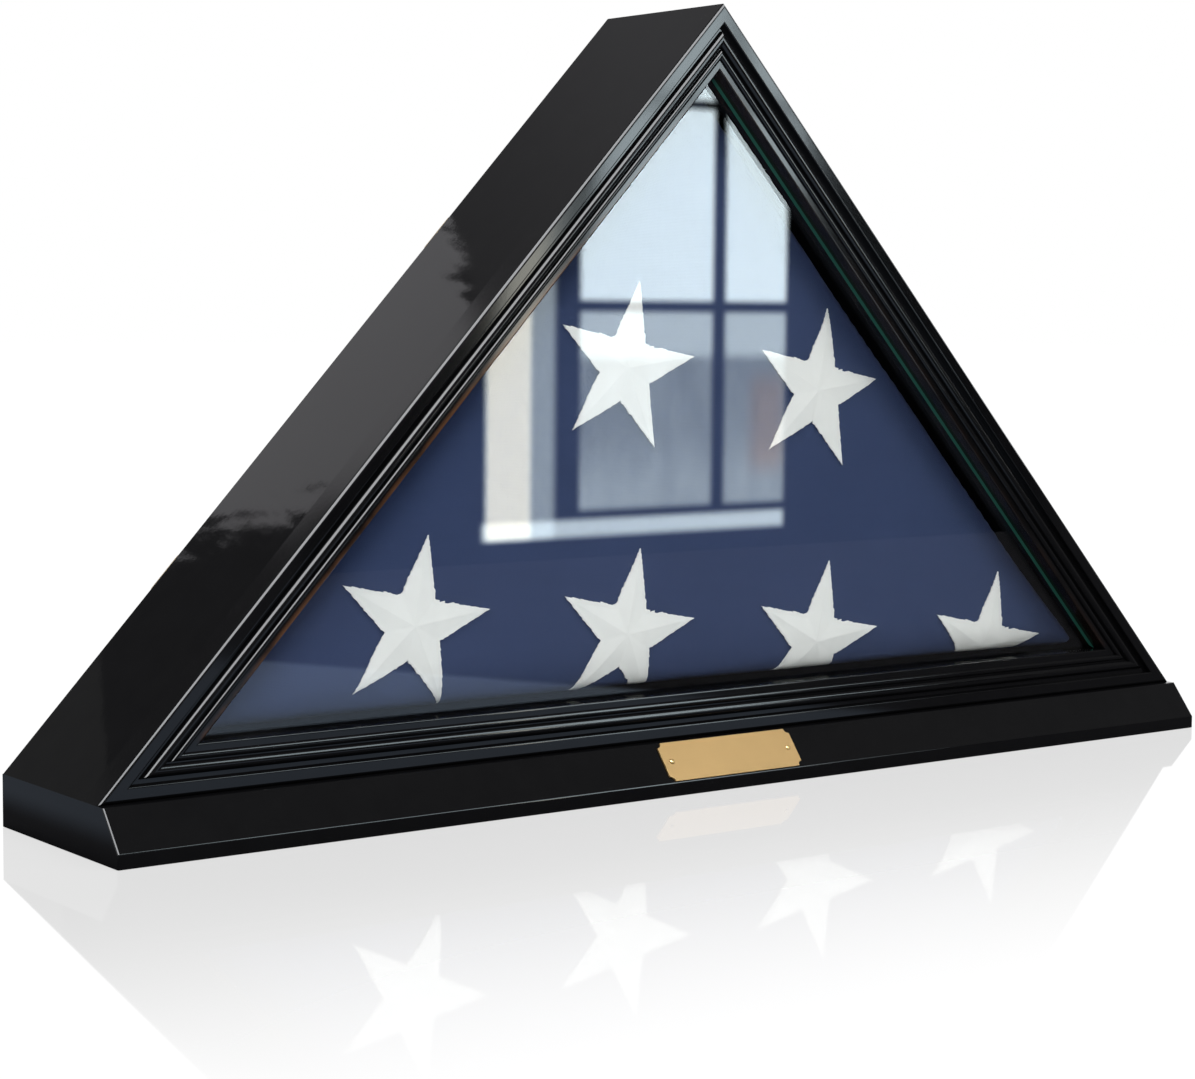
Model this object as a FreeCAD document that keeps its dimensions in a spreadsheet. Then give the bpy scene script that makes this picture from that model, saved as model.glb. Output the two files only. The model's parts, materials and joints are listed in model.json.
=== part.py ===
"""Folded flag display case: a triangular black case on a plinth, with a glazed front,
a mitred moulded frame, a lift-off back held by turn buttons, and the folded flag inside.

Millimetres. +X is to the right, -Y is the front and +Z is up. The origin is the middle of the
plinth's underside."""
import FreeCAD
import Part
import Sketcher
import math
import os
from types import SimpleNamespace

# Driving dimensions
SIZES = {
    # Whole case
    "case_width": 672.0,
    "case_depth": 113.0,
    "slope_angle": 46.8,
    # Plinth: short upright lip in front, then a canted face up to the flat top
    "plinth_height": 24.0,
    "lip_height": 6.5,
    "cant_setback": 14.0,
    "plinth_round": 0.8,
    # Front moulding, read across its face from the outer edge to the sight edge
    "moulding_setback": 18.5,
    "outer_round": 1.6,
    "band_width": 6.6,
    "band_round": 0.7,
    "groove_width": 2.4,
    "groove_depth": 3.2,
    "large_bead_radius": 2.7,
    "quirk_width": 0.6,
    "small_bead_radius": 1.7,
    "sight_lip_width": 3.4,
    "sight_lip_round": 0.8,
    "reveal_depth": 11.5,
    # Glass and the strips that hold it
    "glass_thickness": 3.0,
    "glass_lap": 6.0,
    "glass_clearance": 0.5,
    "glazing_room": 1.0,
    "stop_clearance": 0.2,
    "stop_width": 3.6,
    "stop_depth": 5.0,
    # Side and bottom boards, rabbeted behind for the back panel
    "board_thickness": 18.0,
    "rabbet_width": 7.0,
    "board_round": 0.8,
    # Lift-off back panel with its felt
    "panel_thickness": 5.0,
    "panel_clearance": 0.5,
    "felt_thickness": 1.0,
    "felt_margin": 1.0,
    "seat_clearance": 0.3,
    # Turn buttons on the rear edges of the boards
    "button_length": 28.0,
    "button_margin": 0.75,
    "button_thickness": 1.6,
    "button_chamfer": 0.4,
    "button_gap": 0.3,
    "lower_button_reach": 110.0,
    "upper_button_reach": 330.0,
    "bottom_button_reach": 166.0,
    # Pivot screws of the turn buttons
    "pivot_radius": 1.5,
    "pivot_clearance": 0.05,
    "pivot_bite": 14.0,
    "pivot_head_radius": 3.2,
    "pivot_head_top_radius": 1.9,
    "pivot_head_height": 1.9,
    "pivot_head_gap": 0.1,
    # Screws that hold the plinth to the bottom board
    "base_screw_radius": 2.0,
    "base_screw_head_radius": 4.0,
    "base_screw_bite": 12.0,
    "base_screw_sink": 0.4,
    "base_screw_inset": 106.0,
    "base_screw_pitch": 42.0,
    "drill_clearance": 0.05,
    # Name plate on the canted face
    "plate_width": 84.0,
    "plate_margin": 0.6,
    "plate_thickness": 0.8,
    "plate_scoop": 2.6,
    "plate_pin_inset": 5.0,
    "plate_pin_radius": 0.6,
    "plate_pin_bite": 8.0,
    "plate_pin_head_radius": 1.3,
    "plate_pin_head_top_radius": 0.7,
    "plate_pin_head_height": 0.7,
    # Folded flag
    "flag_clearance": 0.6,
    "flag_gap": 1.8,
    "flag_rest_gap": 0.8,
    "flag_corner_round": 9.0,
    "flag_edge_round": 6.0,
    # Sewn stars on the flag, in two falling rows
    "star_radius": 43.0,
    "star_turn": 11.0,
    "star_thickness": 0.8,
    "star_pitch": 125.0,
    "star_row_fall": 5.65,
    "star_row_rise": 130.5,
    "star_row_lean": 1.0,
    "star_start_x": -42.0,
    "star_start_z": 75.0,
}

# How far past each mitre the moulding is left long before it is sawn
SAW_WASTE = 5.0
DRILL_OVERRUN = 1.0
# Tolerance for picking edges by their place
NEAR = 1e-3
STAR_POINTS = 5
# A five-pointed star whose edges run straight from point to point
STAR_INNER_SHARE = math.sin(math.radians(18)) / math.sin(math.radians(54))

X_AXIS = FreeCAD.Vector(1, 0, 0)
Y_AXIS = FreeCAD.Vector(0, 1, 0)


class Measure:
    """A size that carries the sheet formula that gives it and its present value."""

    def __init__(self, formula, value):
        self.formula = formula
        self.value = value

    def __add__(self, other):
        other = as_measure(other)
        return Measure(f"({self.formula} + {other.formula})", self.value + other.value)

    def __sub__(self, other):
        other = as_measure(other)
        return Measure(f"({self.formula} - {other.formula})", self.value - other.value)

    def __mul__(self, other):
        other = as_measure(other)
        return Measure(f"({self.formula} * {other.formula})", self.value * other.value)

    def __truediv__(self, other):
        other = as_measure(other)
        return Measure(f"({self.formula} / {other.formula})", self.value / other.value)

    def __radd__(self, other):
        return as_measure(other) + self

    def __rsub__(self, other):
        return as_measure(other) - self

    def __rmul__(self, other):
        return as_measure(other) * self

    def __rtruediv__(self, other):
        return as_measure(other) / self

    def __neg__(self):
        return Measure(f"(-{self.formula})", -self.value)


def as_measure(item):
    if isinstance(item, Measure):
        return item
    return Measure(repr(float(item)), float(item))


def sine(angle):
    return Measure(f"sin({angle.formula})", math.sin(math.radians(angle.value)))


def cosine(angle):
    return Measure(f"cos({angle.formula})", math.cos(math.radians(angle.value)))


def tangent(angle):
    return Measure(f"tan({angle.formula})", math.tan(math.radians(angle.value)))


def root_of_squares(a, b):
    return Measure(f"sqrt({a.formula} ^ 2 + {b.formula} ^ 2)", math.hypot(a.value, b.value))


ZERO = as_measure(0)

doc = FreeCAD.newDocument("flag_display_case")
sheet = doc.addObject("Spreadsheet::Sheet", "sizes")
for row, (alias, number) in enumerate(SIZES.items(), start=1):
    sheet.set(f"A{row}", alias)
    sheet.set(f"B{row}", str(number))
    sheet.setAlias(f"B{row}", alias)
doc.recompute()
size = SimpleNamespace(**{alias: Measure(f"sizes.{alias}", float(sheet.get(alias))) for alias in SIZES})

# Planes and insets that several pieces share
half_width = size.case_width / 2
apex_height = size.plinth_height + half_width * tangent(size.slope_angle)
side_length = half_width / cosine(size.slope_angle)
foot_half_angle = size.slope_angle / 2
apex_half_angle = 90 - size.slope_angle

front_y = -(size.case_depth / 2)
rear_y = size.case_depth / 2
moulding_y = front_y + size.moulding_setback
glass_y = moulding_y + size.reveal_depth
stop_y = glass_y + size.glass_thickness + size.stop_clearance
moulding_depth = size.reveal_depth + size.glass_thickness + size.glazing_room
board_y = moulding_y + moulding_depth
panel_y = rear_y - size.panel_thickness
felt_y = panel_y - size.felt_thickness
rabbet_y = felt_y - size.seat_clearance
flag_y = stop_y + size.stop_depth + size.flag_gap
flag_depth = felt_y - size.flag_rest_gap - flag_y
button_y = rear_y + size.button_gap

large_bead_start = size.band_width + size.groove_width
large_bead_end = large_bead_start + size.large_bead_radius * 2
small_bead_start = large_bead_end + size.quirk_width
small_bead_end = small_bead_start + size.small_bead_radius * 2
moulding_face = small_bead_end + size.sight_lip_width
glass_inset = moulding_face - size.glass_lap + size.glass_clearance
rear_edge_width = size.board_thickness - size.rabbet_width
panel_inset = rear_edge_width + size.panel_clearance
flag_inset = size.board_thickness + size.flag_clearance


def bind(item, name, measure):
    """Tie one property of a document object to a sheet formula."""
    setattr(item, name, measure.value)
    item.setExpression(name, measure.formula)


def place(item, x, y, z, axis=None, angle=None):
    """Set an object's Placement, with its point and turn tied to the sheet."""
    turn = FreeCAD.Rotation(axis, angle.value) if axis else FreeCAD.Rotation()
    item.Placement = FreeCAD.Placement(FreeCAD.Vector(x.value, y.value, z.value), turn)
    for name, measure in zip("xyz", (x, y, z)):
        item.setExpression(f"Placement.Base.{name}", measure.formula)
    if axis:
        item.setExpression("Placement.Rotation.Angle", angle.formula)
    return item


def new_sketch(body, plane, name):
    sketch = body.newObject("Sketcher::SketchObject", f"{body.Name}_{name}")
    support = next(item for item in body.Origin.OriginFeatures if item.Role == plane)
    sketch.AttachmentSupport = (support, [""])
    sketch.MapMode = "FlatFace"
    return sketch


def tie_across(sketch, edge, end, measure):
    """Hold one point of an edge at its distance across the sketch from the origin."""
    if measure is ZERO:
        sketch.addConstraint(Sketcher.Constraint("PointOnObject", edge, end, -2))
        return
    index = sketch.addConstraint(Sketcher.Constraint("DistanceX", -1, 1, edge, end, measure.value))
    sketch.setExpression(f"Constraints[{index}]", measure.formula)


def tie_up(sketch, edge, end, measure):
    """Hold one point of an edge at its distance up the sketch from the origin."""
    if measure is ZERO:
        sketch.addConstraint(Sketcher.Constraint("PointOnObject", edge, end, -1))
        return
    index = sketch.addConstraint(Sketcher.Constraint("DistanceY", -1, 1, edge, end, measure.value))
    sketch.setExpression(f"Constraints[{index}]", measure.formula)


def add_outline(sketch, corners, centres=None, bulge=-1):
    """Draw a closed outline through corners. An edge is straight, or an arc where centres gives
    its centre; bulge is -1 for arcs that run clockwise and 1 for the other way."""
    centres = centres or {}
    points = [FreeCAD.Vector(x.value, y.value, 0) for x, y in corners]
    first = sketch.GeometryCount
    ends = []
    for index, start in enumerate(points):
        finish = points[(index + 1) % len(points)]
        if index not in centres:
            sketch.addGeometry(Part.LineSegment(start, finish), False)
            ends.append((1, 2))
            continue
        centre = FreeCAD.Vector(centres[index][0].value, centres[index][1].value, 0)
        arms = [start - centre, finish - centre]
        if bulge < 0:
            arms.reverse()
        angles = [math.atan2(arm.y, arm.x) for arm in arms]
        if angles[1] <= angles[0]:
            angles[1] += 2 * math.pi
        circle = Part.Circle(centre, FreeCAD.Vector(0, 0, 1), arms[0].Length)
        sketch.addGeometry(Part.ArcOfCircle(circle, *angles), False)
        ends.append((2, 1) if bulge < 0 else (1, 2))
    for index, (x, y) in enumerate(corners):
        edge = first + index
        following = (index + 1) % len(points)
        sketch.addConstraint(Sketcher.Constraint(
            "Coincident", edge, ends[index][1], first + following, ends[following][0]))
        tie_across(sketch, edge, ends[index][0], x)
        tie_up(sketch, edge, ends[index][0], y)
        if index in centres:
            tie_across(sketch, edge, 3, centres[index][0])


def add_circle(sketch, x, y, radius):
    circle = Part.Circle(FreeCAD.Vector(x.value, y.value, 0), FreeCAD.Vector(0, 0, 1), radius.value)
    edge = sketch.addGeometry(circle, False)
    tie_across(sketch, edge, 3, x)
    tie_up(sketch, edge, 3, y)
    index = sketch.addConstraint(Sketcher.Constraint("Radius", edge, radius.value))
    sketch.setExpression(f"Constraints[{index}]", radius.formula)


def pad(body, sketch, length, reverse=False):
    feature = body.newObject("PartDesign::Pad", f"{body.Name}_pad")
    feature.Profile = sketch
    feature.Reversed = reverse
    bind(feature, "Length", length)
    return feature


def edge_names(base, chosen):
    """The names of a feature's edges that the test chosen picks."""
    doc.recompute()
    return [f"Edge{index}" for index, edge in enumerate(base.Shape.Edges, start=1) if chosen(edge)]


def fillet(body, base, name, radius, chosen):
    feature = body.newObject("PartDesign::Fillet", f"{body.Name}_{name}")
    feature.Base = (base, edge_names(base, chosen))
    bind(feature, "Radius", radius)
    return feature


def chamfer(body, base, name, width, chosen):
    feature = body.newObject("PartDesign::Chamfer", f"{body.Name}_{name}")
    feature.Base = (base, edge_names(base, chosen))
    bind(feature, "Size", width)
    return feature


def runs_along(edge, axis):
    """True for a straight edge that lies along an axis."""
    way = edge.Vertexes[-1].Point - edge.Vertexes[0].Point
    return isinstance(edge.Curve, Part.Line) and way.cross(axis).Length < NEAR * way.Length


def triangle_corners(inset):
    """The case's triangle drawn in by an inset: left foot, right foot and apex, as X and Z."""
    reach = half_width - inset / tangent(foot_half_angle)
    foot = size.plinth_height + inset
    apex = apex_height - inset / cosine(size.slope_angle)
    return [(-reach, foot), (reach, foot), (ZERO, apex)]


# Each frame member: its length, the half angles of the corners where it starts and ends, where it
# starts, and how it is turned. Along its own X each runs round the triangle the same way, its own
# Z points into the case and its own Y to the rear.
MEMBERS = {
    "left": (side_length, apex_half_angle, foot_half_angle, (ZERO, ZERO, apex_height), Y_AXIS),
    "bottom": (size.case_width, foot_half_angle, foot_half_angle,
               (-half_width, ZERO, size.plinth_height), None),
    "right": (side_length, foot_half_angle, apex_half_angle,
              (half_width, ZERO, size.plinth_height), -Y_AXIS),
}


def mitred_member(name, side, section, centres, depth_of_cut):
    """A straight length of a section, sawn to the triangle's mitres at both ends."""
    length, start_angle, end_angle, corner, axis = MEMBERS[side]
    body = doc.addObject("PartDesign::Body", name)
    profile = new_sketch(body, "YZ_Plane", "section")
    add_outline(profile, section, centres)
    profile.AttachmentOffset = FreeCAD.Placement(FreeCAD.Vector(0, 0, -SAW_WASTE), FreeCAD.Rotation())
    blank = pad(body, profile, length + 2 * SAW_WASTE)

    saw = new_sketch(body, "XZ_Plane", "mitres")
    over = depth_of_cut + SAW_WASTE
    start_slant = tangent(start_angle)
    end_slant = tangent(end_angle)
    add_outline(saw, [
        (-(SAW_WASTE / start_slant), as_measure(-SAW_WASTE)),
        (over / start_slant, over),
        (-(SAW_WASTE / start_slant) - SAW_WASTE, over),
        (-(SAW_WASTE / start_slant) - SAW_WASTE, as_measure(-SAW_WASTE)),
    ])
    add_outline(saw, [
        (length + SAW_WASTE / end_slant, as_measure(-SAW_WASTE)),
        (length + SAW_WASTE / end_slant + SAW_WASTE, as_measure(-SAW_WASTE)),
        (length + SAW_WASTE / end_slant + SAW_WASTE, over),
        (length - over / end_slant, over),
    ])
    cut = body.newObject("PartDesign::Pocket", f"{name}_mitre_cut")
    cut.Profile = saw
    cut.SideType = "Symmetric"
    cut.Type = "ThroughAll"
    place(body, *corner, axis, 180 - size.slope_angle)
    doc.recompute()
    if cut.Shape.Volume >= blank.Shape.Volume:
        raise RuntimeError(f"{name}: the mitres cut nothing")
    return body


def triangle_plate(name, inset, y, thickness):
    """A flat triangular piece, drawn in from the case's triangle by an inset."""
    body = doc.addObject("PartDesign::Body", name)
    sketch = new_sketch(body, "XZ_Plane", "outline")
    add_outline(sketch, triangle_corners(inset))
    pad(body, sketch, thickness, reverse=True)
    place(body, ZERO, y, ZERO)
    return body


def cylinder(name, radius, height):
    item = doc.addObject("Part::Cylinder", name)
    bind(item, "Radius", radius)
    bind(item, "Height", height)
    return item


def cone(name, lower_radius, upper_radius, height):
    item = doc.addObject("Part::Cone", name)
    bind(item, "Radius1", lower_radius)
    bind(item, "Radius2", upper_radius)
    bind(item, "Height", height)
    return item


def fuse(name, first, second):
    item = doc.addObject("Part::Fuse", name)
    item.Base = first
    item.Tool = second
    return item


def group(name, items):
    item = doc.addObject("Part::Compound", name)
    item.Links = items
    return item


def drilled(name, base, drills):
    """A finished board: its body with the holes of its fasteners taken out."""
    item = doc.addObject("Part::Cut", name)
    item.Base = base
    item.Tool = group(f"{name}_drills", drills)
    doc.recompute()
    if item.Shape.Volume >= base.Shape.Volume:
        raise RuntimeError(f"{name}: the drills cut nothing")
    return item


def along_slope(side_sign, reach, inset):
    """A point on a side board: reach up the slope from the foot and inset from its outer face."""
    run = half_width - reach * cosine(size.slope_angle) - inset * sine(size.slope_angle)
    rise = reach * sine(size.slope_angle) - inset * cosine(size.slope_angle)
    return (run if side_sign > 0 else -run), size.plinth_height + rise


def moulding_section():
    """The frame moulding: band, groove, two beads, sight lip, reveal and glass rebate."""
    floor_y = moulding_y + size.groove_depth
    lip_y = floor_y + size.sight_lip_round
    lip_start = moulding_face - size.sight_lip_round
    back_y = moulding_y + moulding_depth
    lap_start = moulding_face - size.glass_lap
    corners = [
        (back_y, ZERO),
        (moulding_y + size.outer_round, ZERO),
        (moulding_y, size.outer_round),
        (moulding_y, size.band_width - size.band_round),
        (moulding_y + size.band_round, size.band_width),
        (floor_y, size.band_width),
        (floor_y, large_bead_start),
        (floor_y, large_bead_end),
        (floor_y, small_bead_start),
        (floor_y, small_bead_end),
        (floor_y, lip_start),
        (lip_y, moulding_face),
        (glass_y, moulding_face),
        (glass_y, lap_start),
        (back_y, lap_start),
    ]
    centres = {
        1: (moulding_y + size.outer_round, size.outer_round),
        3: (moulding_y + size.band_round, size.band_width - size.band_round),
        6: (floor_y, large_bead_start + size.large_bead_radius),
        8: (floor_y, small_bead_start + size.small_bead_radius),
        10: (lip_y, lip_start),
    }
    return corners, centres


def board_section():
    """A case board: rounded outer rear edge, and a rabbet for the back panel along the inner one."""
    corners = [
        (rear_y, size.board_round),
        (rear_y - size.board_round, ZERO),
        (board_y, ZERO),
        (board_y, size.board_thickness),
        (rabbet_y, size.board_thickness),
        (rabbet_y, rear_edge_width),
        (rear_y, rear_edge_width),
    ]
    return corners, {0: (rear_y - size.board_round, size.board_round)}


def stop_section():
    """A square strip behind the glass, against the inner face of its board."""
    inner = size.board_thickness + size.stop_width
    return [
        (stop_y + size.stop_depth, size.board_thickness),
        (stop_y, size.board_thickness),
        (stop_y, inner),
        (stop_y + size.stop_depth, inner),
    ]


def make_plinth_body():
    """The plinth's full length: upright lip, canted face with eased edges, flat top."""
    body = doc.addObject("PartDesign::Body", "plinth_body")
    sketch = new_sketch(body, "YZ_Plane", "section")
    add_outline(sketch, [
        (rear_y, ZERO),
        (front_y, ZERO),
        (front_y, size.lip_height),
        (front_y + size.cant_setback, size.plinth_height),
        (rear_y, size.plinth_height),
    ])
    length = pad(body, sketch, size.case_width)
    length.SideType = "Symmetric"
    front_limit = front_y.value + size.cant_setback.value + NEAR

    def is_eased(edge):
        box = edge.BoundBox
        if box.YMax > front_limit or box.ZMax < NEAR:
            return False
        return runs_along(edge, X_AXIS) or box.XLength < NEAR

    fillet(body, length, "eased_edges", size.plinth_round, is_eased)
    return body


def make_turn_button(name, x, z, axis, angle):
    """A flat brass tab with round ends, which swings on a screw near one end."""
    width = rear_edge_width - 2 * size.button_margin
    reach = size.button_length - width
    half = width / 2
    body = doc.addObject("PartDesign::Body", name)
    sketch = new_sketch(body, "XZ_Plane", "outline")
    add_outline(sketch, [(ZERO, -half), (reach, -half), (reach, half), (ZERO, half)],
                {1: (reach, ZERO), 3: (ZERO, ZERO)}, bulge=1)
    add_circle(sketch, ZERO, ZERO, size.pivot_radius + size.pivot_clearance)
    blank = pad(body, sketch, size.button_thickness, reverse=True)

    def is_rear_rim(edge):
        return edge.BoundBox.YMin > size.button_thickness.value - NEAR and not edge.isClosed()

    chamfer(body, blank, "eased_rim", size.button_chamfer, is_rear_rim)
    return place(body, x, button_y, z, axis, angle)


def make_pivot_screw(name, x, z):
    """A round-head wood screw, lying along Y with its head to the rear."""
    shank = cylinder(f"{name}_shank", size.pivot_radius, size.pivot_bite + shank_stand)
    head = cone(f"{name}_head", size.pivot_head_radius, size.pivot_head_top_radius,
                size.pivot_head_height)
    tip_y = rear_y - size.pivot_bite
    place(shank, x, tip_y, z, -X_AXIS, as_measure(90))
    place(head, x, rear_y + shank_stand, z, -X_AXIS, as_measure(90))
    return fuse(name, shank, head)


def make_pivot_drill(name, x, z):
    drill = cylinder(name, size.pivot_radius + size.drill_clearance, size.pivot_bite + 2 * DRILL_OVERRUN)
    return place(drill, x, rear_y - size.pivot_bite - DRILL_OVERRUN, z, -X_AXIS, as_measure(90))


def make_base_screw(name, x, y):
    """A countersunk wood screw that stands upright, its head sunk in the plinth's underside."""
    head_height = size.base_screw_head_radius - size.base_screw_radius
    shank = cylinder(f"{name}_shank", size.base_screw_radius,
                     size.plinth_height + size.base_screw_bite - size.base_screw_sink)
    head = cone(f"{name}_head", size.base_screw_head_radius, size.base_screw_radius, head_height)
    place(shank, x, y, size.base_screw_sink)
    place(head, x, y, size.base_screw_sink)
    return fuse(name, shank, head)


def make_base_drill(name, x, y):
    """The screw's hole: a clearance bore with a countersink at the underside."""
    bore = cylinder(f"{name}_bore", size.base_screw_radius + size.drill_clearance,
                    size.plinth_height + size.base_screw_bite + 2 * DRILL_OVERRUN)
    wide = size.base_screw_head_radius + size.base_screw_sink + size.drill_clearance * 2
    sink = cone(f"{name}_sink", wide, size.base_screw_radius + size.drill_clearance,
                wide - size.base_screw_radius - size.drill_clearance)
    place(bore, x, y, as_measure(-DRILL_OVERRUN))
    place(sink, x, y, ZERO)
    return fuse(name, bore, sink)


def on_cant(item, across, out):
    """Stand a piece on the canted face, at a place across it and at a height above it."""
    lean_cos = cant_rise / cant_length
    lean_sin = size.cant_setback / cant_length
    y = front_y + size.cant_setback / 2 - out * lean_cos
    z = size.lip_height + cant_rise / 2 + out * lean_sin
    angle = Measure(f"atan2({cant_rise.formula}; {size.cant_setback.formula})",
                    math.degrees(math.atan2(cant_rise.value, size.cant_setback.value)))
    return place(item, across, y, z, X_AXIS, angle)


def make_name_plate():
    """A plain brass plate with scooped corners and a hole near each end."""
    half_long = size.plate_width / 2
    half_high = cant_length / 2 - size.plate_margin
    scoop = size.plate_scoop
    body = doc.addObject("PartDesign::Body", "name_plate")
    sketch = new_sketch(body, "XY_Plane", "outline")
    add_outline(sketch, [
        (-half_long, -half_high + scoop),
        (-half_long, half_high - scoop),
        (-half_long + scoop, half_high),
        (half_long - scoop, half_high),
        (half_long, half_high - scoop),
        (half_long, -half_high + scoop),
        (half_long - scoop, -half_high),
        (-half_long + scoop, -half_high),
    ], {
        1: (-half_long, half_high),
        3: (half_long, half_high),
        5: (half_long, -half_high),
        7: (-half_long, -half_high),
    }, bulge=1)
    for across in plate_pin_places:
        add_circle(sketch, across, ZERO, size.plate_pin_radius + size.drill_clearance)
    pad(body, sketch, size.plate_thickness)
    return on_cant(body, ZERO, ZERO)


def make_plate_pin(name, across):
    shank = cylinder(f"{name}_shank", size.plate_pin_radius,
                     size.plate_pin_bite + size.plate_thickness)
    head = cone(f"{name}_head", size.plate_pin_head_radius, size.plate_pin_head_top_radius,
                size.plate_pin_head_height)
    on_cant(shank, across, -size.plate_pin_bite)
    on_cant(head, across, size.plate_thickness)
    return fuse(name, shank, head)


def make_plate_drill(name, across):
    drill = cylinder(name, size.plate_pin_radius + size.drill_clearance,
                     size.plate_pin_bite + 2 * DRILL_OVERRUN)
    return on_cant(drill, across, -size.plate_pin_bite - DRILL_OVERRUN)


def make_flag():
    """The folded flag: a thick triangle of cloth, rolled at the front edges and pressed at the rear."""
    body = doc.addObject("PartDesign::Body", "folded_flag")
    sketch = new_sketch(body, "XZ_Plane", "outline")
    add_outline(sketch, triangle_corners(flag_inset))
    bundle = pad(body, sketch, flag_depth, reverse=True)
    corners = fillet(body, bundle, "soft_corners", size.flag_corner_round,
                     lambda edge: runs_along(edge, Y_AXIS))
    rolled = fillet(body, corners, "rolled_front", size.flag_edge_round,
                    lambda edge: edge.BoundBox.YMax < NEAR)
    chamfer(body, rolled, "pressed_rear", size.flag_edge_round,
            lambda edge: edge.BoundBox.YMin > flag_depth.value - NEAR)
    return place(body, ZERO, flag_y, ZERO)


def make_stars():
    """Sewn stars in two falling rows, cut off where the flag's edge rolls back."""
    turn = math.radians(size.star_turn.value)
    fall = math.radians(size.star_row_fall.value)
    lean = math.radians(size.star_row_lean.value)
    row_step = (size.star_pitch.value * math.cos(fall), -size.star_pitch.value * math.sin(fall))
    rise_step = (-size.star_row_rise.value * math.sin(lean), size.star_row_rise.value * math.cos(lean))
    places = [(-1, 0), (0, 0), (1, 0), (2, 0), (0, 1), (1, 1)]
    stars = []
    star_y = flag_y.value - size.star_thickness.value
    for along, up in places:
        centre_x = size.star_start_x.value + along * row_step[0] + up * rise_step[0]
        centre_z = size.star_start_z.value + along * row_step[1] + up * rise_step[1]
        tips = []
        for index in range(2 * STAR_POINTS + 1):
            radius = size.star_radius.value * (STAR_INNER_SHARE if index % 2 else 1)
            angle = turn + index * math.pi / STAR_POINTS
            tips.append(FreeCAD.Vector(centre_x + radius * math.sin(angle), star_y,
                                       centre_z + radius * math.cos(angle)))
        face = Part.Face(Part.makePolygon(tips))
        stars.append(face.extrude(FreeCAD.Vector(0, size.star_thickness.value, 0)))
    flat = [FreeCAD.Vector(x.value, star_y, z.value)
            for x, z in triangle_corners(flag_inset + size.flag_edge_round)]
    flat_face = Part.Face(Part.makePolygon(flat + flat[:1]))
    flat_front = flat_face.extrude(FreeCAD.Vector(0, size.star_thickness.value, 0))
    item = doc.addObject("Part::Feature", "flag_stars")
    item.Shape = Part.makeCompound([solid for star in stars for solid in star.common(flat_front).Solids])
    item.Placement = FreeCAD.Placement()
    return item


# Values that belong to single groups of pieces
shank_stand = size.button_gap + size.button_thickness + size.pivot_head_gap
cant_rise = size.plinth_height - size.lip_height
cant_length = root_of_squares(cant_rise, size.cant_setback)
plate_pin_places = [-(size.plate_width / 2 - size.plate_pin_inset),
                    size.plate_width / 2 - size.plate_pin_inset]

parts = []

# Front moulding and glass stops
moulding_corners, moulding_centres = moulding_section()
for side in MEMBERS:
    parts.append(mitred_member(f"{side}_front_moulding", side, moulding_corners,
                               moulding_centres, moulding_face))
    parts.append(mitred_member(f"{side}_glass_stop", side, stop_section(), None,
                               size.board_thickness + size.stop_width))

# Glass, back panel and felt
parts.append(triangle_plate("glass_pane", glass_inset, glass_y, size.glass_thickness))
parts.append(triangle_plate("back_panel", panel_inset, panel_y, size.panel_thickness))
parts.append(triangle_plate("back_felt", panel_inset + size.felt_margin, felt_y, size.felt_thickness))

# Turn buttons, their screws and the screws' holes in each board
pivot_inset = rear_edge_width / 2
pivot_screws = []
board_drills = {side: [] for side in MEMBERS}
button_places = []
for side, sign in (("left", -1), ("right", 1)):
    for level, reach in (("lower", size.lower_button_reach), ("upper", size.upper_button_reach)):
        x, z = along_slope(sign, reach, pivot_inset)
        turn = size.slope_angle if sign < 0 else 180 - size.slope_angle
        button_places.append((f"{side}_{level}_turn_button", side, x, z, -Y_AXIS, turn))
for sign, word in ((-1, "left"), (1, "right")):
    x = (half_width - size.bottom_button_reach) * sign
    z = size.plinth_height + pivot_inset
    turn = as_measure(180 if sign < 0 else 0)
    button_places.append((f"bottom_{word}_turn_button", "bottom", x, z, -Y_AXIS, turn))
for name, side, x, z, axis, turn in button_places:
    parts.append(make_turn_button(name, x, z, axis, turn))
    pivot_screws.append(make_pivot_screw(f"{name}_screw", x, z))
    board_drills[side].append(make_pivot_drill(f"{name}_drill", x, z))
parts.append(group("turn_button_screws", pivot_screws))

# Base screws and the plinth, name plate and its pins
board_middle_y = (board_y + rabbet_y) / 2
base_screws = []
plinth_drills = []
for sign_x in (-1, 1):
    for sign_y in (-1, 1):
        name = f"base_screw_{len(base_screws) + 1}"
        x = (half_width - size.base_screw_inset) * sign_x
        y = board_middle_y + size.base_screw_pitch / 2 * sign_y
        base_screws.append(make_base_screw(name, x, y))
        plinth_drills.append(make_base_drill(f"{name}_plinth_drill", x, y))
        board_drills["bottom"].append(make_base_drill(f"{name}_board_drill", x, y))
parts.append(group("base_screws", base_screws))
parts.append(make_name_plate())
plate_pins = []
for index, across in enumerate(plate_pin_places, start=1):
    plate_pins.append(make_plate_pin(f"name_plate_pin_{index}", across))
    plinth_drills.append(make_plate_drill(f"name_plate_pin_{index}_drill", across))
parts.append(group("name_plate_pins", plate_pins))
parts.append(drilled("plinth", make_plinth_body(), plinth_drills))

# Case boards
for side, name in (("left", "left_side_board"), ("bottom", "bottom_board"), ("right", "right_side_board")):
    body = mitred_member(f"{name}_body", side, *board_section(), size.board_thickness)
    parts.append(drilled(name, body, board_drills[side]))

# Flag
parts.append(make_flag())
parts.append(make_stars())

doc.recompute()
for item in doc.Objects:
    if "Invalid" in item.State or "Error" in item.State:
        raise RuntimeError(f"{item.Label} failed: {item.State}")
for item in doc.Objects:
    if item.TypeId == "Sketcher::SketchObject" and not item.FullyConstrained:
        raise RuntimeError(f"{item.Label} is not fully constrained")
for item in parts:
    if item.Shape.isNull() or not item.Shape.isValid():
        raise RuntimeError(f"{item.Label} has no valid shape")

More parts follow.
